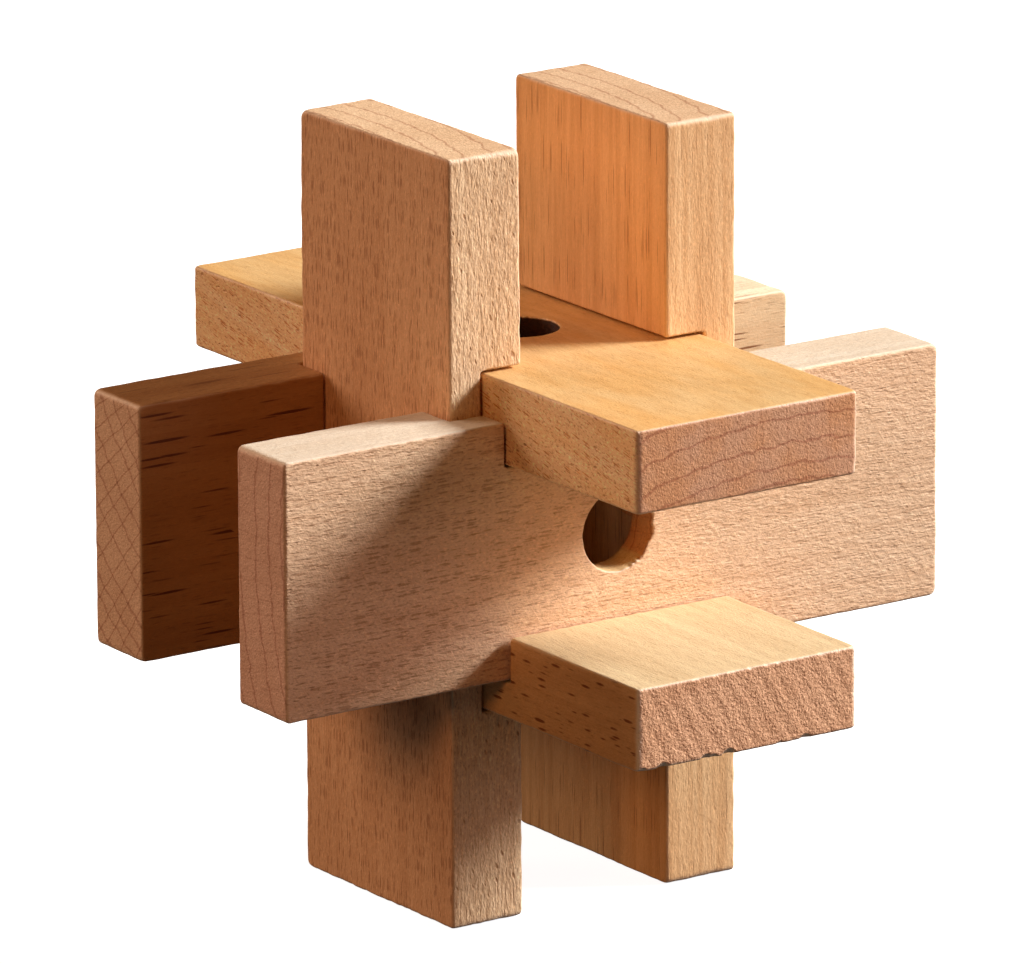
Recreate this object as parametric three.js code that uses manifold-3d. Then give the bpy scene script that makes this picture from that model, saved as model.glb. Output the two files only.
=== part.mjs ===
// A six-board burr puzzle in beech: three pairs of equal boards that cross at right angles and
// lock each other. One board, the key, is plain and slides out lengthways. With the key out, the
// front and back boards lift off, and then the left and right boards pull away from the bottom
// board.
//
// Millimetres, +Z up. The puzzle stands on the lower ends of its two upright boards, and the
// origin is on the floor, under its centre. +X is to the right and -Y is to the front.

import * as THREE from 'three';
import { mergeVertices } from 'three/addons/utils/BufferGeometryUtils.js';
import Module from 'manifold-3d';

const wasm = await Module();
wasm.setup();

// ---- driving dimensions ----

const boardLength = 88;
const boardWidth = 29.5;
const boardThickness = 9.5;
const pairOffset = 14.5; // from the puzzle's centre to the mid-plane of each board
const fitGap = 0.25; // play between a board and each wall of the recess that holds it
const holeDiameter = 9.2;
const cornerRadius = 0.8; // at the four corners of a board's outline
const easedEdge = 0.5; // the rounding along all edges of the two wide faces

const cornerSteps = 3;
const easedEdgeSteps = 2;
const holeSteps = 40;
const overshoot = 5; // how far a cutter runs past the face that it opens

// ---- derived dimensions, measured from a board's own centre ----

const recessLength = 2 * pairOffset + boardThickness + 2 * fitGap;
const recessFloor = boardWidth / 2 + fitGap - pairOffset;
const keyNotchWidth = boardWidth + 2 * fitGap;
const keyNotchFloor = pairOffset - boardThickness / 2 - fitGap;

// ---- solids ----

function toSolid(geometry) {
  const bare = geometry.clone();
  bare.deleteAttribute('normal');
  bare.deleteAttribute('uv');
  const merged = mergeVertices(bare);
  const vertProperties = new Float32Array(merged.attributes.position.array);
  const triVerts = new Uint32Array(merged.index.array);
  return new wasm.Manifold(new wasm.Mesh({ numProp: 3, vertProperties, triVerts }));
}

function toGeometry(solid) {
  const mesh = solid.getMesh();
  const geometry = new THREE.BufferGeometry();
  geometry.setAttribute('position', new THREE.BufferAttribute(mesh.vertProperties, 3));
  geometry.setIndex(new THREE.BufferAttribute(mesh.triVerts, 1));
  geometry.computeVertexNormals();
  return geometry;
}

function boxSolid(low, high) {
  const size = high.clone().sub(low);
  const centre = high.clone().add(low).multiplyScalar(0.5);
  const geometry = new THREE.BoxGeometry(size.x, size.y, size.z);
  geometry.translate(centre.x, centre.y, centre.z);
  return toSolid(geometry);
}

function boardOutline() {
  const points = [];
  const corners = [
    [1, 1],
    [-1, 1],
    [-1, -1],
    [1, -1],
  ];
  corners.forEach(([sideX, sideY], corner) => {
    const centreX = sideX * (boardLength / 2 - cornerRadius);
    const centreY = sideY * (boardWidth / 2 - cornerRadius);
    for (let step = 0; step <= cornerSteps; step += 1) {
      const angle = (corner + step / cornerSteps) * (Math.PI / 2);
      const x = centreX + cornerRadius * Math.cos(angle);
      const y = centreY + cornerRadius * Math.sin(angle);
      points.push(new THREE.Vector2(x, y));
    }
  });
  return points;
}

function holeOutline() {
  const points = [];
  for (let step = 0; step < holeSteps; step += 1) {
    const angle = (step / holeSteps) * 2 * Math.PI;
    const x = (holeDiameter / 2) * Math.cos(angle);
    const y = (holeDiameter / 2) * Math.sin(angle);
    points.push(new THREE.Vector2(x, y));
  }
  return points;
}

// A board's own frame: X along its length, Y across its width, and +Z out of its outer face.
function plainBoard() {
  const shape = new THREE.Shape(boardOutline());
  shape.holes.push(new THREE.Path(holeOutline()));
  const geometry = new THREE.ExtrudeGeometry(shape, {
    depth: boardThickness - 2 * easedEdge,
    bevelThickness: easedEdge,
    bevelSize: easedEdge,
    bevelOffset: -easedEdge,
    bevelSegments: easedEdgeSteps,
  });
  geometry.translate(0, 0, easedEdge - boardThickness / 2);
  return toSolid(geometry);
}

// A recess across the middle of the inner face takes the edges of the two boards that cross this
// one. Its two ends keep them from moving apart.
function recessedBoard() {
  const recess = boxSolid(
    new THREE.Vector3(
      -recessLength / 2,
      -boardWidth / 2 - overshoot,
      -boardThickness / 2 - overshoot,
    ),
    new THREE.Vector3(recessLength / 2, boardWidth / 2 + overshoot, recessFloor),
  );
  return plainBoard().subtract(recess);
}

// The front and back boards also have a notch in their upper edge, where the key passes.
function keyNotchedBoard() {
  const notch = boxSolid(
    new THREE.Vector3(-keyNotchWidth / 2, keyNotchFloor, -boardThickness / 2 - overshoot),
    new THREE.Vector3(
      keyNotchWidth / 2,
      boardWidth / 2 + overshoot,
      boardThickness / 2 + overshoot,
    ),
  );
  return recessedBoard().subtract(notch);
}

// ---- materials ----

function beech(colour) {
  return new THREE.MeshStandardMaterial({ color: colour, roughness: 0.62, metalness: 0 });
}

// ---- assembly ----

const quarterTurn = Math.PI / 2;
const halfTurn = Math.PI;

// Each board is made for one side of the puzzle: it is turned from its own frame, moved out to
// its pair's offset, and for the opposite side of the pair carried half a turn round the centre.
const boards = [
  {
    name: 'key_board',
    solid: plainBoard(),
    colour: 0xdca468,
    turn: [0, 0, quarterTurn],
    offset: [0, 0, pairOffset],
    carry: [0, 0, 0],
  },
  {
    name: 'bottom_board',
    solid: recessedBoard(),
    colour: 0xcf9a6b,
    turn: [0, 0, quarterTurn],
    offset: [0, 0, pairOffset],
    carry: [0, halfTurn, 0],
  },
  {
    name: 'right_board',
    solid: recessedBoard(),
    colour: 0xcb8450,
    turn: [0, quarterTurn, 0],
    offset: [pairOffset, 0, 0],
    carry: [0, 0, 0],
  },
  {
    name: 'left_board',
    solid: recessedBoard(),
    colour: 0xbd7d4e,
    turn: [0, quarterTurn, 0],
    offset: [pairOffset, 0, 0],
    carry: [0, 0, halfTurn],
  },
  {
    name: 'front_board',
    solid: keyNotchedBoard(),
    colour: 0xe2b387,
    turn: [quarterTurn, 0, 0],
    offset: [0, -pairOffset, 0],
    carry: [0, 0, 0],
  },
  {
    name: 'back_board',
    solid: keyNotchedBoard(),
    colour: 0xb97f54,
    turn: [quarterTurn, 0, 0],
    offset: [0, -pairOffset, 0],
    carry: [0, 0, halfTurn],
  },
];

const puzzle = new THREE.Group();
puzzle.position.set(0, 0, boardLength / 2);

for (const { name, solid, colour, turn, offset, carry } of boards) {
  const board = new THREE.Mesh(toGeometry(solid), beech(colour));
  board.name = name;
  board.rotation.set(...turn);
  board.position.set(...offset);
  const side = new THREE.Group();
  side.rotation.set(...carry);
  side.add(board);
  puzzle.add(side);
}

export default puzzle;
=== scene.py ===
"""A six-board burr puzzle in beech. Each board is a worn, rounded solid made here inside the CAD
board that it stands for, in a procedural beech whose rings, rays and pores run through the wood."""

import itertools
import math

import bpy
import numpy as np
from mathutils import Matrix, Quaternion, Vector


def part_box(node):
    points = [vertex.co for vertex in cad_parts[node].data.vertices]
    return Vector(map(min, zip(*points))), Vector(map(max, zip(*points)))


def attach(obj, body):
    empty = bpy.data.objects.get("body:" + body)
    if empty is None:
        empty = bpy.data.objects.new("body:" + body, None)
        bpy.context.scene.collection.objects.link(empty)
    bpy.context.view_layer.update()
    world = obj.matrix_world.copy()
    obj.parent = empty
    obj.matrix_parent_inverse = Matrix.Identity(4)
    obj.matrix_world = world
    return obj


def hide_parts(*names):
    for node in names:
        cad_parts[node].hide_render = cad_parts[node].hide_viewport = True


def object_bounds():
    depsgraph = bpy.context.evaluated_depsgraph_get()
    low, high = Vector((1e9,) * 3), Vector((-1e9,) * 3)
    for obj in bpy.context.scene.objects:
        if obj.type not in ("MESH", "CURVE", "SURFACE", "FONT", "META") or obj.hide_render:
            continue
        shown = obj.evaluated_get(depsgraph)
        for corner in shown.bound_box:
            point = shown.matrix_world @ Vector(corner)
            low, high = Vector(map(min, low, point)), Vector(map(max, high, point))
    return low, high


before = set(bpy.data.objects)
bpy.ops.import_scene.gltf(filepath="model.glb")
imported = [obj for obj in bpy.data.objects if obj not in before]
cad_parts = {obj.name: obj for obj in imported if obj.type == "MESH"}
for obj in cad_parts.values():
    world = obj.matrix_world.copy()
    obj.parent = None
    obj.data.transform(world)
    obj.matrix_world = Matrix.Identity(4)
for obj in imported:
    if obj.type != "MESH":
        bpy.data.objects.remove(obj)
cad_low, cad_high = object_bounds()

MM = 0.001
X, Y, Z = 0, 1, 2

# ---- shape, shared by all boards ----

FIT_GAP = 0.25 * MM  # play round a board in the recesses that hold it
HOLE_DIAMETER = 9.2 * MM
CORNER_SOFTNESS = 0.8 * MM  # how far from a corner of the outline its rounding starts
EDGE_SOFTNESS = 0.4 * MM  # the same along the edges of the wide faces
RECESS_SOFTNESS = 0.2 * MM
HOLE_SOFTNESS = 0.15 * MM
FLAT_STEP = 0.5 * MM  # mesh spacing on the flats
HOLE_STEP = 0.22 * MM  # mesh spacing round the hole
HOLE_BAND = 0.9 * MM  # how far past the hole's rim it runs
EDGE_STEP = 0.16 * MM  # mesh spacing near the edges
EDGE_BAND = 1.4 * MM  # how far from a face the fine spacing runs
MARGIN = 0.4 * MM  # how far the sampling grid reaches past the board
SKIN = 1.0 * MM  # how deep the wear and the relief are worked out
WEAR_SHOWS = 0.12 * MM  # rounding this deep shows as fully worn
WEAR_PATCH = 9 * MM  # the rounding varies over patches of this size
WEAR_PATCH_SHARE = 0.3  # and by this share of its mean
WEAR_NICK = 1.6 * MM  # the same for a finer variation
WEAR_NICK_SHARE = 0.25

CHIPS_PER_BOARD = 70
CHIP_LARGEST = 0.35 * MM
CHIP_SIZES = (0.4, 1.0)  # shares of the largest chip
CHIP_LIFTS = (0.2, 0.6)  # how far a chip's centre lies outside the wood, in its radii
CHIP_SOFTNESS = 0.1 * MM

SWELL_DEPTH = 0.015 * MM
SWELL_LENGTH = 11 * MM
MARK_LENGTH = 1.5 * MM  # small marks in the surface, along the grain
MARK_WIDTH = 0.7 * MM

TEAR_DEPTH = 0.35 * MM  # torn fibres round the holes: how far they go into the wood
TEAR_REACH = 0.6 * MM  # how far down the hole they fade
TEAR_CELL = 0.09  # the width of one tear, in radii of the hole
TEAR_BIAS = 0.3  # the higher, the more of the rim is torn
TEAR_MEAN = 0.4  # tears are deepest towards the board's high end
TEAR_SWING = 0.8
TEAR_LEAST = 0.1

SLOPE_STEP = 0.02 * MM
LEAST_STEEPNESS = 0.25
SURFACE_PULLS = 3  # how often the vertices are drawn onto the surface

# ---- the six boards ----

# along: the axis of the board's length; across: the axis of its width; out: the outward side on
# its thickness axis. cut_by: for each recess or notch in this board, the boards that cross it.
# torn: chipped arrises, each as (side on X, Y and Z, number of chips, largest chip), where 0 marks
# the axis that the arris runs along.
BOARDS = {
    "key_board": dict(
        body="key", slot="beech_key", along=Y, across=X, out=+1, cut_by=[], seed=11,
        roughness=0.012 * MM,
        torn=[((0, -1, 1), 14, 0.3 * MM), ((-1, -1, 0), 8, 0.3 * MM), ((-1, 0, -1), 16, 0.35 * MM)],
    ),
    "bottom_board": dict(
        body="frame", slot="beech_bottom", along=Y, across=X, out=-1,
        cut_by=[("front_board", "back_board")], seed=23, roughness=0.02 * MM,
        torn=[((0, -1, -1), 14, 1.1 * MM), ((0, -1, 1), 28, 0.5 * MM), ((1, -1, 0), 8, 0.5 * MM)],
    ),
    "left_board": dict(
        body="frame", slot="beech_left", along=Z, across=Y, out=-1,
        cut_by=[("key_board", "bottom_board")], seed=37, roughness=0.03 * MM,
        torn=[((0, -1, 1), 10, 0.45 * MM), ((1, -1, 0), 30, 0.3 * MM), ((-1, -1, 0), 20, 0.3 * MM)],
    ),
    "right_board": dict(
        body="frame", slot="beech_right", along=Z, across=Y, out=+1,
        cut_by=[("key_board", "bottom_board")], seed=41, roughness=0.018 * MM,
        torn=[((0, -1, 1), 7, 0.4 * MM), ((0, -1, -1), 6, 0.5 * MM)],
    ),
    "front_board": dict(
        body="frame", slot="beech_front", along=X, across=Z, out=-1,
        cut_by=[("key_board",), ("left_board", "right_board")], seed=53, roughness=0.02 * MM,
        torn=[((0, -1, 1), 30, 0.4 * MM), ((-1, -1, 0), 14, 0.35 * MM), ((0, -1, -1), 20, 0.4 * MM)],
    ),
    "back_board": dict(
        body="frame", slot="beech_back", along=X, across=Z, out=+1,
        cut_by=[("key_board",), ("left_board", "right_board")], seed=67, roughness=0.012 * MM,
        torn=[((0, -1, 1), 12, 0.35 * MM)],
    ),
}


# ---- noise ----

# large odd numbers and shifts that scatter the bits of an integer hash
HASH_AXES = (374761393, 668265263, 2246822519)
HASH_SEED = 974634777
HASH_ROUNDS = ((13, 1274126177), (15, 2654435761))
HASH_LAST_SHIFT = 16


def lattice(cells, seed):
    """A repeatable number from 0 to 1 for each whole-number point."""
    mixed = np.uint32(seed * HASH_SEED % 2**32)
    for axis, factor in enumerate(HASH_AXES):
        mixed = mixed ^ cells[:, axis].astype(np.uint32) * np.uint32(factor)
    for shift, factor in HASH_ROUNDS:
        mixed = (mixed ^ (mixed >> np.uint32(shift))) * np.uint32(factor)
    return (mixed ^ (mixed >> np.uint32(HASH_LAST_SHIFT))) / float(2**32)


def noise(points, cell, seed):
    """Smooth noise from -1 to 1, with one random value per cell. cell is one size or three."""
    scaled = points / np.asarray(cell)
    base = np.floor(scaled).astype(np.int64)
    share = scaled - base
    share = share * share * (3 - 2 * share)
    total = np.zeros(len(points))
    for corner in itertools.product((0, 1), repeat=3):
        weight = np.prod(np.where(corner, share, 1 - share), axis=1)
        total += weight * lattice(base + np.array(corner), seed)
    return 2 * total - 1


# ---- signed distances: negative inside the wood ----

def soft_max(a, b, softness):
    """The larger of two distances, rounded where they meet."""
    blend = np.maximum(softness - np.abs(a - b), 0) / softness
    return np.maximum(a, b) + blend * blend * softness / 4


def box_distance(points, low, high):
    centre = (low + high) / 2
    return (np.abs(points - centre) - (high - low) / 2).max(axis=1)


class Board:
    """One board's axes, box and cuts, all in the row frame."""

    def __init__(self, name, body, slot, along, across, out, cut_by, seed, roughness, torn):
        self.name = name
        self.body = body
        self.slot = slot
        self.along = along
        self.across = across
        self.through = 3 - along - across
        self.out = out
        self.seed = seed
        self.roughness = roughness
        low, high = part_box(name)
        self.low = np.array(low)
        self.high = np.array(high)
        self.centre = (self.low + self.high) / 2
        self.half = (self.high - self.low) / 2
        self.cuts = [self.cut(crossing) for crossing in cut_by]
        self.chips = self.make_chips(torn)

    def cut(self, crossing):
        """The box of wood that is missing, so that the crossing boards have room."""
        boxes = [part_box(other) for other in crossing]
        low = np.min([low for low, high in boxes], axis=0)
        high = np.max([high for low, high in boxes], axis=0)
        return low - FIT_GAP, high + FIT_GAP

    def make_chips(self, torn):
        """Small dents along the arrises: (centre, radius) pairs."""
        random = np.random.default_rng(self.seed)
        sides = []
        for _ in range(CHIPS_PER_BOARD):
            side = random.choice([-1.0, 1.0], 3)
            side[random.integers(3)] = 0
            sides.append((side, CHIP_LARGEST))
        for side, count, largest in torn:
            sides += [(np.array(side, float), largest)] * count
        chips = []
        for side, largest in sides:
            spot = np.where(side == 0, random.uniform(-1, 1, 3), side) * self.half
            radius = random.uniform(*CHIP_SIZES) * largest
            lift = random.uniform(*CHIP_LIFTS) * radius
            chips.append((self.centre + spot + side * lift, radius))
        return chips

    def sharp(self, points):
        """The board with crisp edges."""
        local = points - self.centre
        result = (np.abs(local) - self.half).max(axis=1)
        for low, high in self.cuts:
            result = np.maximum(result, -box_distance(points, low, high))
        return np.maximum(result, self.hole_distance(local))

    def worn(self, points):
        """The board with rounded and chipped edges and an uneven surface."""
        local = points - self.centre
        faces = np.abs(local) - self.half
        patches = WEAR_PATCH_SHARE * noise(points, WEAR_PATCH, self.seed)
        nicks = WEAR_NICK_SHARE * noise(points, WEAR_NICK, self.seed + 1)
        wear = 1 + patches + nicks
        result = soft_max(faces[:, self.along], faces[:, self.across], CORNER_SOFTNESS * wear)
        result = soft_max(result, faces[:, self.through], EDGE_SOFTNESS * wear)
        for low, high in self.cuts:
            result = soft_max(result, -box_distance(points, low, high), RECESS_SOFTNESS)
        result = soft_max(result, self.hole_distance(local), HOLE_SOFTNESS)
        at_arris = np.flatnonzero((faces > -SKIN).sum(axis=1) > 1)
        chipped, nearby = result[at_arris], points[at_arris]
        for centre, radius in self.chips:
            dent = radius - np.sqrt(((nearby - centre) ** 2).sum(axis=1))
            chipped = soft_max(chipped, dent, CHIP_SOFTNESS)
        result[at_arris] = chipped
        return result + self.relief(points)

    def relief(self, points):
        """How far the surface lies below the ideal one: long swells, and small marks."""
        swell = SWELL_DEPTH * (1 + noise(points, SWELL_LENGTH, self.seed + 2))
        cell = np.full(3, MARK_WIDTH)
        cell[self.along] = MARK_LENGTH
        marks = self.roughness * (1 + noise(points, cell, self.seed + 3))
        return swell + marks

    def distance(self, points):
        result = self.sharp(points)
        near = np.abs(result) < SKIN
        result[near] = self.worn(points[near])
        return result

    def hole_distance(self, local):
        """The drilled hole, with torn fibres at its two rims."""
        along, across, through = (local[:, a] for a in (self.along, self.across, self.through))
        radius = np.hypot(along, across)
        angle = np.arctan2(across, along)
        depth = self.half[self.through] - np.abs(through)
        ring = np.stack([np.cos(angle), np.sin(angle), np.sign(through)], axis=1)
        torn = np.clip(noise(ring, TEAR_CELL, self.seed + 4) + TEAR_BIAS, 0, 1)
        one_sided = np.clip(TEAR_MEAN + TEAR_SWING * np.cos(angle), TEAR_LEAST, 1)
        torn *= one_sided * np.exp(-np.maximum(depth, 0) / TEAR_REACH)
        return HOLE_DIAMETER / 2 + TEAR_DEPTH * torn - radius


# ---- meshing ----

def grid_lines(half, around_hole):
    """Sampling positions along one axis: close together near both faces and across the hole."""
    outer = half + MARGIN
    inner = half - EDGE_BAND
    hole = HOLE_DIAMETER / 2 + HOLE_BAND if around_hole else 0
    stretches = [
        (-outer, -inner, EDGE_STEP), (-inner, -hole, FLAT_STEP), (-hole, hole, HOLE_STEP),
        (hole, inner, FLAT_STEP), (inner, outer, EDGE_STEP),
    ]
    lines = [
        np.linspace(start, end, math.ceil((end - start) / step), endpoint=False)
        for start, end, step in stretches if end > start
    ]
    return np.concatenate([*lines, [outer]])


def gradient(distance, points):
    slopes = []
    for axis in range(3):
        shift = np.zeros(3)
        shift[axis] = SLOPE_STEP
        rise = distance(points + shift) - distance(points - shift)
        slopes.append(rise / (2 * SLOPE_STEP))
    return np.stack(slopes, axis=1)


def surface_net(distance, lines):
    """Vertices and quads of the surface where distance is zero, sampled on a grid."""
    shape = tuple(len(line) for line in lines)
    samples = np.stack(np.meshgrid(*lines, indexing="ij"), axis=-1)
    values = distance(samples.reshape(-1, 3)).reshape(shape)
    inside = values < 0
    corners = list(itertools.product((0, 1), repeat=3))
    count = sum(
        inside[i:shape[0] - 1 + i, j:shape[1] - 1 + j, k:shape[2] - 1 + k].astype(int)
        for i, j, k in corners
    )
    mixed = (count > 0) & (count < len(corners))
    cells = np.argwhere(mixed)
    number = np.full(mixed.shape, -1)
    number[mixed] = np.arange(len(cells))

    total = np.zeros((len(cells), 3))
    crossings = np.zeros(len(cells))
    for start in corners:
        for axis in range(3):
            if start[axis]:
                continue
            end = list(start)
            end[axis] = 1
            first = tuple((cells + start).T)
            second = tuple((cells + end).T)
            a, b = values[first], values[second]
            crosses = (a < 0) != (b < 0)
            share = np.where(crosses, a / np.where(crosses, a - b, 1), 0)
            p, q = samples[first], samples[second]
            total += np.where(crosses[:, None], p + (q - p) * share[:, None], 0)
            crossings += crosses
    vertices = total / crossings[:, None]

    quads = []
    for axis in range(3):
        u, v = (axis + 1) % 3, (axis + 2) % 3
        lower = np.take(inside, range(shape[axis] - 1), axis)
        upper = np.take(inside, range(1, shape[axis]), axis)
        edges = np.argwhere(lower != upper)
        ring = []
        for step_u, step_v in ((-1, -1), (0, -1), (0, 0), (-1, 0)):
            cell = edges.copy()
            cell[:, u] += step_u
            cell[:, v] += step_v
            ring.append(number[tuple(cell.T)])
        quad = np.stack(ring, axis=1)
        faces_back = ~lower[tuple(edges.T)]
        quad[faces_back] = quad[faces_back][:, ::-1]
        quads.append(quad)

    for _ in range(SURFACE_PULLS):
        slope = gradient(distance, vertices)
        steepness = np.maximum((slope ** 2).sum(axis=1), LEAST_STEEPNESS)
        move = slope * (distance(vertices) / steepness)[:, None]
        vertices = vertices - np.clip(move, -EDGE_STEP, EDGE_STEP)
    return vertices, np.concatenate(quads)


def build_mesh(board):
    lines = [
        grid_lines(board.half[axis], axis != board.through) + board.centre[axis] for axis in (X, Y, Z)
    ]
    vertices, quads = surface_net(board.distance, lines)
    mesh = bpy.data.meshes.new(board.name + "_wood")
    mesh.from_pydata(vertices.tolist(), [], quads.tolist())
    mesh.polygons.foreach_set("use_smooth", np.ones(len(quads), bool))
    rounded_off = -board.sharp(vertices) - board.relief(vertices)
    wear = mesh.attributes.new("wear", "FLOAT", "POINT")
    wear.data.foreach_set("value", np.clip(rounded_off / WEAR_SHOWS, 0, 1))
    mesh.update()
    return mesh


# ---- beech ----

BRIGHTEST_WOOD = (0.95, 0.95, 0.95)
FACING = (0.6, 0.8)  # how squarely a surface turns to an axis before it counts as facing it
FAR_END = (15.0, -20.0)  # mm from the centre: where the far colour's painted shade starts, and where it is complete
LENS_RADIUS = 0.5  # the largest lens, in cells
LENS_EDGE = (-0.12, 0.1)
RAY_WAVER = 0.7
HOLE_RIM = (0.6, 0.4)  # mm past the hole's radius over which the hole's painted shade comes in
HOLE_MOUTH = (0.1, 0.35)  # mm below the face over which it comes in
SCRATCH_STRETCH = (0.35, 5.0)
SCRATCH_HEIGHT = 0.02
TOOTH = (0.42, 0.6, 0.25)  # saw teeth per mm across and, last, through; between them, their waver
ROUGHNESS_SWING = 0.25
ROUGHNESS_DROP = 0.12
SPECULAR = 0.35

# Each noise: its cycles per mm along and across the grain, then its detail and roughness.
NOISES = {
    "wobble": ((0.02, 0.45), 4.0, 0.55),
    "fibre": ((0.5, 7.0), 3.0, 0.6),
    "band": ((0.02, 0.9), 3.0, 0.6),
    "cloud": ((0.03, 0.16), 3.0, 0.55),
    "grit": ((1.0, 1.0), 3.0, 0.65),
    "fluff": ((2.2, 4.2), 2.0, 0.6),
    "gouge": ((0.8, 2.2), 2.0, 0.6),
}
# Where each mark starts and where it is complete, in its noise or its distance.
RANGES = {
    "ring_line": (0.02, 0.09),
    "ray_line": (0.015, 0.06),
    "fibre": (0.3, 0.7),
    "band": (0.38, 0.62),
    "cloud": (0.35, 0.68),
    "specks": (0.56, 0.68),
    "pits": (0.43, 0.33),
    "scratch": (0.52, 0.72),
    "gouge": (0.35, 0.65),
}
# The colour that each mark multiplies into the wood under it.
TINTS = {
    "ring_tone": (0.86, 0.78, 0.72),
    "band": (0.8, 0.7, 0.6),
    "fibre": (0.78, 0.68, 0.58),
    "scratch": (1.18, 1.16, 1.14),
    "ring_line": (0.62, 0.46, 0.42),
    "ray_line": (0.72, 0.6, 0.55),
    "specks": (1.45, 1.45, 1.45),
    "pits": (0.55, 0.44, 0.38),
    "dent": (0.6, 0.48, 0.4),
}


def opaque(colour):
    return (*colour, 1)


class Nodes:
    """Short calls that add and link a material's nodes."""

    def __init__(self, name):
        self.material = bpy.data.materials.new(name)
        self.material.use_nodes = True
        self.tree = self.material.node_tree
        self.tree.nodes.clear()

    def add(self, kind, **settings):
        node = self.tree.nodes.new(kind)
        for key, value in settings.items():
            setattr(node, key, value)
        return node

    def feed(self, socket, value):
        if isinstance(value, bpy.types.NodeSocket):
            self.tree.links.new(value, socket)
        else:
            socket.default_value = value

    def math(self, operation, *values, clamp=False):
        node = self.add("ShaderNodeMath", operation=operation, use_clamp=clamp)
        for socket, value in zip(node.inputs, values):
            self.feed(socket, value)
        return node.outputs[0]

    def combine(self, x, y, z):
        node = self.add("ShaderNodeCombineXYZ")
        for socket, value in zip(node.inputs, (x, y, z)):
            self.feed(socket, value)
        return node.outputs[0]

    def noise(self, vector, scale=1.0, detail=2.0, roughness=0.5, distortion=0.0):
        node = self.add("ShaderNodeTexNoise")
        self.feed(node.inputs["Vector"], vector)
        node.inputs["Scale"].default_value = scale
        node.inputs["Detail"].default_value = detail
        node.inputs["Roughness"].default_value = roughness
        node.inputs["Distortion"].default_value = distortion
        return node.outputs["Fac"]

    def cells(self, place, feature):
        """Uneven bands along one direction: their tone (F1), or the distance to their borders."""
        node = self.add("ShaderNodeTexVoronoi", voronoi_dimensions="1D", feature=feature)
        self.feed(node.inputs["W"], place)
        node.inputs["Scale"].default_value = 1.0
        if feature == "F1":
            split = self.add("ShaderNodeSeparateColor")
            self.feed(split.inputs[0], node.outputs["Color"])
            return split.outputs[0]
        return node.outputs["Distance"]

    def lenses(self, along, across, through, size, share):
        """Scattered dark lens shapes that run with the grain. share is how many places have one."""
        node = self.add("ShaderNodeTexVoronoi")
        place = (along, across, through)
        axes = [self.math("DIVIDE", value, length) for value, length in zip(place, size)]
        self.feed(node.inputs["Vector"], self.combine(*axes))
        node.inputs["Scale"].default_value = 1.0
        pick = self.add("ShaderNodeSeparateColor")
        self.feed(pick.inputs[0], node.outputs["Color"])
        reach = self.math("MULTIPLY_ADD", pick.outputs[0], LENS_RADIUS, -LENS_RADIUS * (1 - share))
        return self.ramp(self.math("SUBTRACT", reach, node.outputs["Distance"]), *LENS_EDGE)

    def ramp(self, value, low, high, smooth=True):
        """0 below low, 1 above high."""
        node = self.add("ShaderNodeMapRange")
        if smooth:
            node.interpolation_type = "SMOOTHSTEP"
        self.feed(node.inputs["Value"], value)
        node.inputs["From Min"].default_value = low
        node.inputs["From Max"].default_value = high
        return node.outputs["Result"]

    def mix(self, share, a, b, blend="MIX"):
        node = self.add("ShaderNodeMix", data_type="RGBA", blend_type=blend)
        self.feed(node.inputs["Factor"], share)
        self.feed(node.inputs[6], a)
        self.feed(node.inputs[7], b)
        return node.outputs[2]


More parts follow.
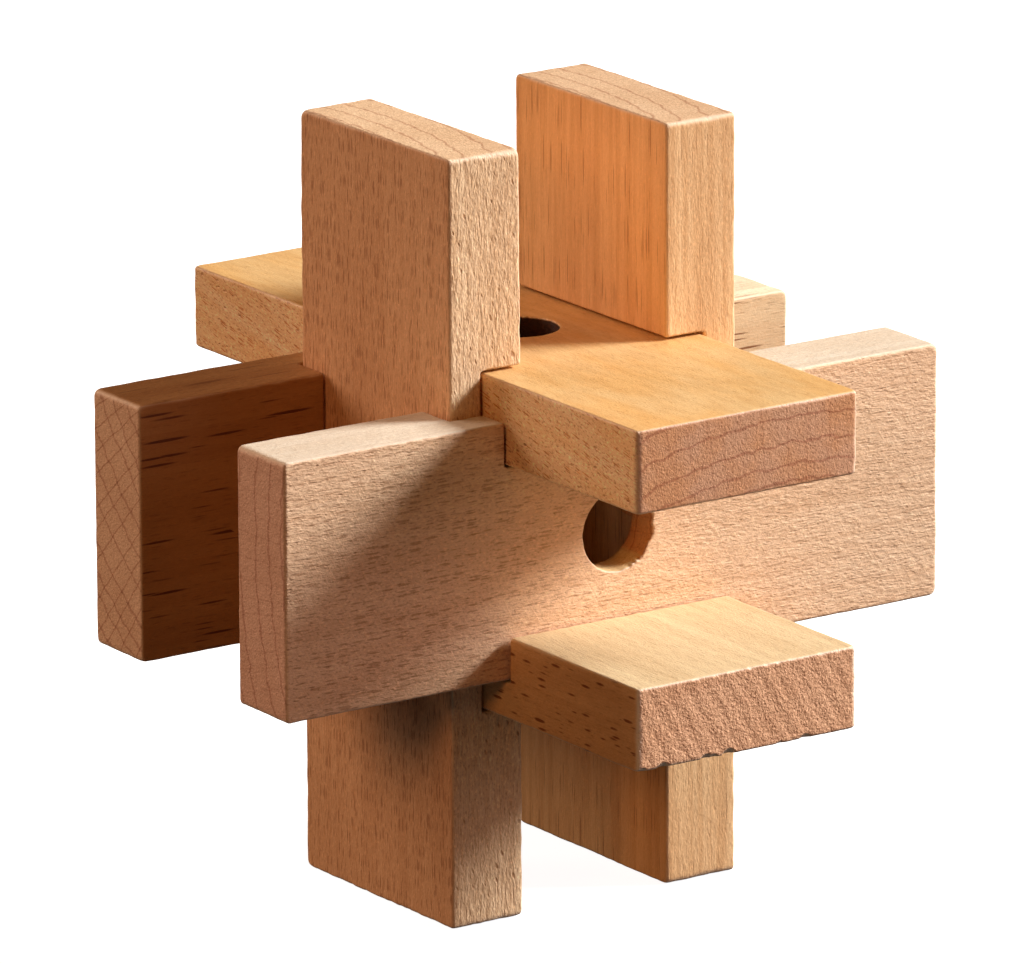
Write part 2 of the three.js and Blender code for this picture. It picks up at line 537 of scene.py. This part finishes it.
class Wood:
    """The wood of one board. Its coordinates are in millimetres from the board's centre."""

    def __init__(self, board, look):
        self.board = board
        self.look = look
        self.n = Nodes(board.slot)
        self.set_place()
        self.set_rings()
        self.set_marks()
        self.set_hole()
        self.set_strengths()
        self.set_shader(self.colour(), self.height())

    def set_place(self):
        n, board = self.n, self.board
        place = n.add("ShaderNodeTexCoord")
        split = n.add("ShaderNodeSeparateXYZ")
        n.feed(split.inputs[0], place.outputs["Object"])
        self.position = [
            n.math("MULTIPLY_ADD", split.outputs[axis], 1 / MM, -board.centre[axis] / MM)
            for axis in range(3)
        ]
        self.along = self.position[board.along]
        lean_across, lean_through = self.look["lean"]
        self.across = n.math("MULTIPLY_ADD", self.along, lean_across, self.position[board.across])
        self.through = n.math("MULTIPLY_ADD", self.along, lean_through, self.position[board.through])

        facing = n.add("ShaderNodeSeparateXYZ")
        n.feed(facing.inputs[0], place.outputs["Normal"])
        self.end_face = n.ramp(n.math("ABSOLUTE", facing.outputs[board.along]), *FACING)
        self.edge_face = n.ramp(n.math("ABSOLUTE", facing.outputs[board.across]), *FACING)
        self.side_face = n.math("SUBTRACT", 1.0, self.end_face)

    def noise(self, kind, scale=1.0):
        n = self.n
        (along_scale, cross_scale), detail, roughness = NOISES[kind]
        stretched = n.combine(
            n.math("MULTIPLY", self.along, along_scale),
            n.math("MULTIPLY", self.across, cross_scale),
            n.math("MULTIPLY", self.through, cross_scale),
        )
        return n.noise(stretched, scale, detail, roughness)

    def length(self, a, b):
        n = self.n
        return n.math("SQRT", n.math("ADD", n.math("MULTIPLY", a, a), n.math("MULTIPLY", b, b)))

    def set_rings(self):
        """Growth rings by the distance from the pith, and rays by the distance round it."""
        n, look = self.n, self.look
        pith_across, pith_through = look["pith"]
        from_across = n.math("SUBTRACT", self.across, pith_across)
        from_through = n.math("SUBTRACT", self.through, pith_through)
        radius = self.length(from_across, from_through)
        reach = math.hypot(pith_across, pith_through)
        around = n.math("MULTIPLY", n.math("ARCTAN2", from_across, from_through), reach)
        self.wobble = self.noise("wobble")
        wavy_radius = n.math("MULTIPLY_ADD", self.wobble, look["waver"], radius)
        ring_place = n.math("DIVIDE", wavy_radius, look["ring"])
        ring_border = n.cells(ring_place, "DISTANCE_TO_EDGE")
        self.ring_line = n.math("SUBTRACT", 1.0, n.ramp(ring_border, *RANGES["ring_line"]))
        self.ring_tone = n.cells(ring_place, "F1")
        wavy_around = n.math("MULTIPLY_ADD", self.wobble, RAY_WAVER, around)
        ray_place = n.math("DIVIDE", wavy_around, look["ray"])
        ray_border = n.cells(ray_place, "DISTANCE_TO_EDGE")
        self.ray_line = n.math("SUBTRACT", 1.0, n.ramp(ray_border, *RANGES["ray_line"]))

    def set_marks(self):
        """Dashes are the short dark pores, flecks the longer rays cut across, dents torn pits."""
        n, look = self.n, self.look
        along, across, through = self.along, self.across, self.through
        self.dash = n.lenses(along, across, through, look["dash_size"], look["dash_share"])
        self.fleck = n.lenses(along, across, through, look["fleck_size"], look["fleck_share"])
        slanted = n.math("MULTIPLY_ADD", along, look["dent_slant"], through)
        self.dent = n.lenses(along, across, slanted, look["dent_size"], look["dent_share"])
        self.fibre = n.ramp(self.noise("fibre"), *RANGES["fibre"], smooth=False)
        self.band = n.ramp(self.noise("band"), *RANGES["band"])
        self.cloud = n.ramp(self.noise("cloud"), *RANGES["cloud"])
        self.grit = self.noise("grit", look["grit_scale"])
        self.fluff = self.noise("fluff")
        self.specks = n.ramp(self.fluff, *RANGES["specks"])
        self.pits = n.ramp(self.fluff, *RANGES["pits"])

        sine = math.sin(math.radians(look["scratch_angle"]))
        cosine = math.cos(math.radians(look["scratch_angle"]))
        scratch_across = n.math(
            "ADD", n.math("MULTIPLY", along, sine), n.math("MULTIPLY", across, cosine)
        )
        scratch_along = n.math(
            "SUBTRACT", n.math("MULTIPLY", along, cosine), n.math("MULTIPLY", across, sine)
        )
        stretched = n.combine(
            n.math("MULTIPLY", scratch_along, SCRATCH_STRETCH[0]),
            n.math("MULTIPLY", scratch_across, SCRATCH_STRETCH[1]),
            through,
        )
        self.scratch = n.ramp(n.noise(stretched, 1.0, 2.0, 0.6), *RANGES["scratch"])

        tooth_across, tooth_waver, tooth_through = TOOTH
        tooth = n.math("MULTIPLY", across, tooth_across)
        tooth = n.math("MULTIPLY_ADD", self.wobble, tooth_waver, tooth)
        tooth = n.math("MULTIPLY_ADD", through, tooth_through, tooth)
        wave = n.math("SINE", n.math("MULTIPLY", tooth, 2 * math.pi))
        self.saw = n.math("MULTIPLY_ADD", wave, 0.5, 0.5)

    def set_hole(self):
        """The wall of the drilled hole, below its torn rims, where painted shade darkens the wood."""
        n, board = self.n, self.board
        from_axis = self.length(self.position[board.along], self.position[board.across])
        rim = HOLE_DIAMETER / 2 / MM
        level = board.half[board.through] / MM
        height = n.math("ABSOLUTE", self.position[board.through])
        below_face = n.ramp(height, *(level - depth for depth in HOLE_MOUTH))
        inside = n.ramp(from_axis, *(rim + past for past in HOLE_RIM))
        self.in_hole = n.math("MULTIPLY", inside, below_face)

    def by_face(self, wide, edge, end):
        """A strength that differs between the wide faces, the edges and the ends."""
        strength = self.n.math("MULTIPLY_ADD", self.edge_face, edge - wide, wide)
        return self.n.math("MULTIPLY_ADD", self.end_face, end - wide, strength)

    def set_strengths(self):
        n, look = self.n, self.look
        self.far_end = n.ramp(self.along, *FAR_END)
        dash_by_face = self.by_face(*look["dash"], 0)
        towards_far = n.math("MULTIPLY_ADD", self.far_end, 1 - look["near_dash"], look["near_dash"])
        self.dash_strength = n.math("MULTIPLY", dash_by_face, towards_far)
        self.fleck_strength = self.by_face(*look["fleck"], 0)
        self.dent_strength = self.by_face(*look["dents"])
        self.speck_strength = self.by_face(*look["specks"])
        self.pit_strength = self.by_face(*look["pits"])

    def colour(self):
        """The plain colour, and then each mark multiplied into what is under it."""
        n, look = self.n, self.look
        # Painted shade: side faces blend towards the far colour at the board's far end; only
        # back_board's differs, darkening its left (-X) end as shadow.
        far_shade_share = n.math("MULTIPLY", self.far_end, self.side_face)
        colour = n.mix(far_shade_share, opaque(look["colour"]), opaque(look["far_colour_and_painted_shade"]))
        marks = [
            (self.cloud, look["cloud"], None, look["cloud_tint"]),
            (self.ring_tone, look["ring_tone"], None, TINTS["ring_tone"]),
            (self.band, look["band"], self.side_face, TINTS["band"]),
            (self.fibre, look["fibre"], self.side_face, TINTS["fibre"]),
            (self.dash, self.dash_strength, None, look["dash_tint"]),
            (self.fleck, self.fleck_strength, None, look["fleck_tint"]),
            (self.scratch, look["scratch"], self.side_face, TINTS["scratch"]),
            (self.ring_line, look["ring_line"], self.end_face, TINTS["ring_line"]),
            (self.ray_line, look["ray_line"], self.end_face, TINTS["ray_line"]),
            (self.specks, self.speck_strength, None, TINTS["specks"]),
            (self.pits, self.pit_strength, None, TINTS["pits"]),
            (self.dent, self.dent_strength, None, TINTS["dent"]),
        ]
        for mask, strength, where, tint in marks:
            share = n.math("MULTIPLY", mask, strength)
            if where is not None:
                share = n.math("MULTIPLY", share, where)
            colour = n.mix(share, colour, opaque(tint), "MULTIPLY")
        # The face tints hold the wood's own tone of edges and ends together with painted light and
        # shade, lightening some faces and darkening others.
        colour = n.mix(self.end_face, colour, opaque(look["end_tint_and_painted_light"]), "MULTIPLY")
        colour = n.mix(self.edge_face, colour, opaque(look["edge_tint_and_painted_light"]), "MULTIPLY")
        wear = n.add("ShaderNodeAttribute", attribute_name="wear")
        worn = n.math("MULTIPLY", wear.outputs["Fac"], look["worn"])
        colour = n.mix(worn, colour, opaque(look["worn_colour"]))
        # Painted shade inside the holes: the walls darken, to nearly black in the key board's hole.
        colour = n.mix(self.in_hole, colour, opaque(look["hole_tint_and_painted_shade"]), "MULTIPLY")
        return n.mix(1.0, colour, opaque(BRIGHTEST_WOOD), "DARKEN")

    def height(self):
        """Relief too fine for the mesh, in millimetres."""
        n, look = self.n, self.look
        height = n.math("MULTIPLY", self.grit, look["grit"])
        height = n.math("MULTIPLY_ADD", self.fluff, look["fluff"], height)
        height = n.math("MULTIPLY_ADD", self.fibre, -look["fibre_depth"], height)
        height = n.math("MULTIPLY_ADD", self.dash, -look["dash_depth"], height)
        height = n.math("MULTIPLY_ADD", self.scratch, SCRATCH_HEIGHT * look["scratch"], height)
        dents = n.math("MULTIPLY", self.dent, self.dent_strength)
        height = n.math("MULTIPLY_ADD", dents, -look["dent_depth"], height)
        gouge = n.ramp(self.noise("gouge"), *RANGES["gouge"])
        height = n.math("MULTIPLY_ADD", gouge, self.by_face(*look["gouges"]), height)
        saw_marks = n.math("MULTIPLY", self.saw, look["saw"])
        return n.math("MULTIPLY_ADD", saw_marks, self.end_face, height)

    def set_shader(self, colour, height):
        n = self.n
        bump = n.add("ShaderNodeBump")
        bump.inputs["Strength"].default_value = 1.0
        bump.inputs["Distance"].default_value = MM
        n.feed(bump.inputs["Height"], height)

        shader = n.add("ShaderNodeBsdfPrincipled")
        n.feed(shader.inputs["Base Color"], colour)
        smoothest = self.look["roughness"] - ROUGHNESS_DROP
        roughness = n.math("MULTIPLY_ADD", self.grit, ROUGHNESS_SWING, smoothest)
        n.feed(shader.inputs["Roughness"], roughness)
        shader.inputs["Specular IOR Level"].default_value = SPECULAR
        n.feed(shader.inputs["Normal"], bump.outputs[0])
        output = n.add("ShaderNodeOutputMaterial")
        n.feed(output.inputs[0], shader.outputs[0])


# Strengths in threes are for the wide faces, the edges and the ends; dash and fleck have the
# first two. The colours and tints are fitted under the lights below, so they carry painted light
# and shade as well as the wood's own colour: the edge and end tints lighten some faces and darken
# others, the far colour is painted shade on back_board's left end, and the hole tint paints the
# key board's hole wall nearly black as shade.
BASE_LOOK = dict(
    cloud=0.5, cloud_tint=(0.86, 0.8, 0.74),
    lean=(0.0, 0.0), pith=(6.0, -60.0), waver=1.6, ring=2.6, ring_tone=0.5, ray=2.2,
    ring_line=0.7, ray_line=0.35, band=0.3,
    fibre=0.5, fibre_depth=0.008,
    dash=(0.4, 0.4), dash_size=(1.9, 0.28, 0.28), dash_share=0.8, dash_tint=(0.5, 0.36, 0.28),
    near_dash=1.0, dash_depth=0.012,
    fleck=(0.0, 0.0), fleck_size=(6.0, 0.9, 0.9), fleck_share=0.45, fleck_tint=(0.3, 0.18, 0.12),
    dents=(0.0, 0.3, 0.2), dent_size=(1.5, 0.7, 0.7), dent_share=0.5, dent_slant=0.3, dent_depth=0.06,
    grit=0.02, grit_scale=2.4, fluff=0.02, specks=(0.2, 0.4, 0.5), pits=(0.15, 0.3, 0.5),
    scratch=0.0, scratch_angle=60.0, gouges=(0.0, 0.02, 0.02), saw=0.0,
    # hole tint: the hole wall's own tone together with painted shade
    hole_tint_and_painted_shade=(0.9, 0.72, 0.45),
    worn=0.6, worn_colour=(0.94, 0.74, 0.54), roughness=0.6,
)
LOOKS = {
    "key_board": dict(
        colour=(0.845, 0.57, 0.26), edge_tint_and_painted_light=(1.2, 1.24, 1.55), end_tint_and_painted_light=(0.76, 0.61, 0.77),
        cloud=0.8, cloud_tint=(1.0, 0.86, 0.65), ring_tone=0.2, band=0.4, fibre=0.3,
        lean=(0.0, -0.25), dash=(0.25, 0.9), dash_tint=(0.66, 0.42, 0.26), roughness=0.5,
        # hole tint: painted shade, the key board's hole wall made nearly black
        hole_tint_and_painted_shade=(0.06, 0.035, 0.025),
        dents=(0.0, 0.8, 0.2), specks=(0.15, 1.0, 0.6), pits=(0.1, 0.8, 0.6), fluff=0.03,
    ),
    "bottom_board": dict(
        colour=(0.90, 0.75, 0.46), end_tint_and_painted_light=(0.85, 0.58, 0.54), edge_tint_and_painted_light=(1.03, 0.80, 0.63),
        fleck=(0.1, 1.0), fleck_size=(2.8, 0.55, 0.55), fleck_share=0.7,
        fleck_tint=(0.38, 0.22, 0.13), dash=(0.2, 0.3),
        dents=(0.0, 0.1, 1.0), dent_size=(1.8, 0.9, 0.9), gouges=(0.0, 0.01, 0.045), saw=0.04,
        specks=(0.15, 0.2, 1.0), pits=(0.15, 0.2, 1.0), ring_line=0.1, ray_line=0.1, fluff=0.05,
        worn=0.9, worn_colour=(0.95, 0.82, 0.64),
    ),
    "left_board": dict(
        colour=(0.87, 0.53, 0.29), edge_tint_and_painted_light=(1.10, 1.38, 1.64), end_tint_and_painted_light=(0.94, 1.08, 1.20),
        gouges=(0.0, 0.045, 0.02), dents=(0.0, 0.9, 0.2), dash=(0.6, 0.25), dash_share=1.0, fibre=1.0,
        specks=(0.4, 0.7, 0.5), pits=(0.3, 0.5, 0.5), fluff=0.03,
    ),
    "right_board": dict(
        colour=(0.93, 0.57, 0.255), edge_tint_and_painted_light=(1.02, 1.12, 1.33), end_tint_and_painted_light=(0.82, 0.92, 1.25),
        band=0.6, dash=(0.6, 0.25), dash_size=(6.0, 0.34, 0.34), dash_share=0.75, dents=(0.0, 0.25, 0.2),
    ),
    "front_board": dict(
        colour=(0.95, 0.68, 0.45), end_tint_and_painted_light=(0.77, 0.66, 0.69), edge_tint_and_painted_light=(0.93, 1.2, 1.5),
        scratch=0.35, gouges=(0.04, 0.02, 0.02), dents=(0.45, 0.2, 0.2), dent_size=(1.2, 0.45, 0.45),
        dash=(0.55, 0.1), near_dash=0.45, dash_share=1.0, specks=(0.5, 0.3, 0.5), pits=(0.5, 0.2, 0.5),
        fluff=0.04,
    ),
    "back_board": dict(
        # far colour: painted shade, the side faces darkened towards the left (-X) end, which lies in
        # shadow
        colour=(0.86, 0.68, 0.43), far_colour_and_painted_shade=(0.45, 0.22, 0.073), pith=(42.0, -42.0),
        fleck=(1.0, 0.5), fleck_share=0.75, fleck_size=(8.0, 0.5, 0.5), fleck_tint=(0.32, 0.18, 0.11),
        dash=(0.3, 0.3), ray_line=1.0, end_tint_and_painted_light=(0.86, 0.70, 0.69), edge_tint_and_painted_light=(1.3, 1.42, 1.7),
    ),
}


# ---- the boards as pieces ----

for name, facts in BOARDS.items():
    board = Board(name, **facts)
    piece = bpy.data.objects.new(name + "_worn", build_mesh(board))
    bpy.context.scene.collection.objects.link(piece)
    look = {**BASE_LOOK, "far_colour_and_painted_shade": LOOKS[name]["colour"], **LOOKS[name]}
    piece.data.materials.append(Wood(board, look).n.material)
    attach(piece, board.body)
    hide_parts(name)


# ---- floor, light and camera ----

FLOOR_REACH = 6.0
FLOOR_DROP = 0.05 * MM  # keeps the floor clear of the boards' feet
FLOOR_GREY = (0.5, 0.5, 0.5)
FLOOR_GLOW = 0.92
FLOOR_BOUNCE = (0.05, 0.05, 0.05)
WORLD_BOUNCE = (1.0, 0.85, 0.7)
WORLD_BOUNCE_STRENGTH = 0.01
WHITE = (1, 1, 1)

CAMERA_AZIMUTH = -34.45
CAMERA_ELEVATION = 15.56
CAMERA_ROLL = -0.25
CAMERA_DISTANCE = 1.248
CAMERA_LENS = 389.6
CAMERA_SENSOR = 36
CAMERA_CLIP = 20
AIM_UP = 1.2  # mm from the puzzle's centre to the point that the camera looks at
AIM_LEFT = 0.39

LIGHTS = {
    "key_light": dict(azimuth=67, elevation=31, distance=1.2, size=0.4, watts=27, colour=WHITE),
    "fill_light": dict(
        azimuth=-145, elevation=25, distance=1.2, size=0.8, watts=8.8, colour=(1, 0.73, 0.57),
    ),
    "left_glow": dict(
        azimuth=-65, elevation=25, distance=1.2, size=0.35, watts=2.3, colour=(1, 0.45, 0.17),
    ),
    "front_glow": dict(
        azimuth=40, elevation=15, distance=1.2, size=0.6, watts=3.3, colour=(1, 0.66, 0.6),
    ),
}


def direction(azimuth, elevation):
    """Unit vector towards a place seen from the puzzle. Azimuth 0 is the front, 90 the right."""
    a, e = math.radians(azimuth), math.radians(elevation)
    return Vector((math.sin(a) * math.cos(e), -math.cos(a) * math.cos(e), math.sin(e)))


def aim(thing, target):
    thing.rotation_euler = (target - thing.location).to_track_quat("-Z", "Y").to_euler()


def add_light(name, azimuth, elevation, distance, size, watts, colour):
    lamp = bpy.data.lights.new(name, "AREA")
    lamp.shape = "DISK"
    lamp.size = size
    lamp.energy = watts
    lamp.color = colour
    thing = bpy.data.objects.new(name, lamp)
    thing.location = centre + direction(azimuth, elevation) * distance
    aim(thing, centre)
    bpy.context.scene.collection.objects.link(thing)


def make_floor():
    """White to the camera and nearly black to all other rays, so it lights nothing."""
    mesh = bpy.data.meshes.new("floor")
    level = cad_low.z - FLOOR_DROP
    turns = ((-1, -1), (1, -1), (1, 1), (-1, 1))
    corners = [(x * FLOOR_REACH, y * FLOOR_REACH, level) for x, y in turns]
    mesh.from_pydata(corners, [], [(0, 1, 2, 3)])
    floor = bpy.data.objects.new("floor", mesh)
    bpy.context.scene.collection.objects.link(floor)
    n = Nodes("floor_paper")
    paper = n.add("ShaderNodeBsdfDiffuse")
    paper.inputs["Color"].default_value = opaque(FLOOR_GREY)
    glow = n.add("ShaderNodeEmission")
    glow.inputs["Color"].default_value = opaque(WHITE)
    glow.inputs["Strength"].default_value = FLOOR_GLOW
    both = n.add("ShaderNodeAddShader")
    n.feed(both.inputs[0], paper.outputs[0])
    n.feed(both.inputs[1], glow.outputs[0])
    dim = n.add("ShaderNodeBsdfDiffuse")
    dim.inputs["Color"].default_value = opaque(FLOOR_BOUNCE)
    path = n.add("ShaderNodeLightPath")
    choose = n.add("ShaderNodeMixShader")
    n.feed(choose.inputs[0], path.outputs["Is Camera Ray"])
    n.feed(choose.inputs[1], dim.outputs[0])
    n.feed(choose.inputs[2], both.outputs[0])
    output = n.add("ShaderNodeOutputMaterial")
    n.feed(output.inputs[0], choose.outputs[0])
    mesh.materials.append(n.material)


def make_world():
    """White to the camera; to all other rays a faint warm light."""
    world = bpy.data.worlds.new("studio")
    world.use_nodes = True
    bpy.context.scene.world = world
    tree = world.node_tree
    tree.nodes.clear()
    seen = tree.nodes.new("ShaderNodeBackground")
    seen.inputs["Color"].default_value = opaque(WHITE)
    seen.inputs["Strength"].default_value = 1.0
    felt = tree.nodes.new("ShaderNodeBackground")
    felt.inputs["Color"].default_value = opaque(WORLD_BOUNCE)
    felt.inputs["Strength"].default_value = WORLD_BOUNCE_STRENGTH
    path = tree.nodes.new("ShaderNodeLightPath")
    choose = tree.nodes.new("ShaderNodeMixShader")
    output = tree.nodes.new("ShaderNodeOutputWorld")
    tree.links.new(path.outputs["Is Camera Ray"], choose.inputs[0])
    tree.links.new(felt.outputs[0], choose.inputs[1])
    tree.links.new(seen.outputs[0], choose.inputs[2])
    tree.links.new(choose.outputs[0], output.inputs[0])


def make_camera():
    camera = bpy.data.cameras.new("camera")
    camera.sensor_width = CAMERA_SENSOR
    camera.lens = CAMERA_LENS
    camera.clip_end = CAMERA_CLIP
    thing = bpy.data.objects.new("camera", camera)
    backward = direction(CAMERA_AZIMUTH, CAMERA_ELEVATION)
    right = Vector((0, 0, 1)).cross(backward).normalized()
    up = backward.cross(right)
    target = centre + up * AIM_UP * MM - right * AIM_LEFT * MM
    thing.location = target + backward * CAMERA_DISTANCE
    level = (-backward).to_track_quat("-Z", "Y")
    roll = Quaternion((0, 0, 1), math.radians(CAMERA_ROLL))
    thing.rotation_euler = (level @ roll).to_euler()
    bpy.context.scene.collection.objects.link(thing)
    bpy.context.scene.camera = thing


centre = (cad_low + cad_high) / 2
make_camera()
make_floor()
make_world()
for name, facts in LIGHTS.items():
    add_light(name, **facts)
bpy.context.scene.view_settings.view_transform = "Standard"
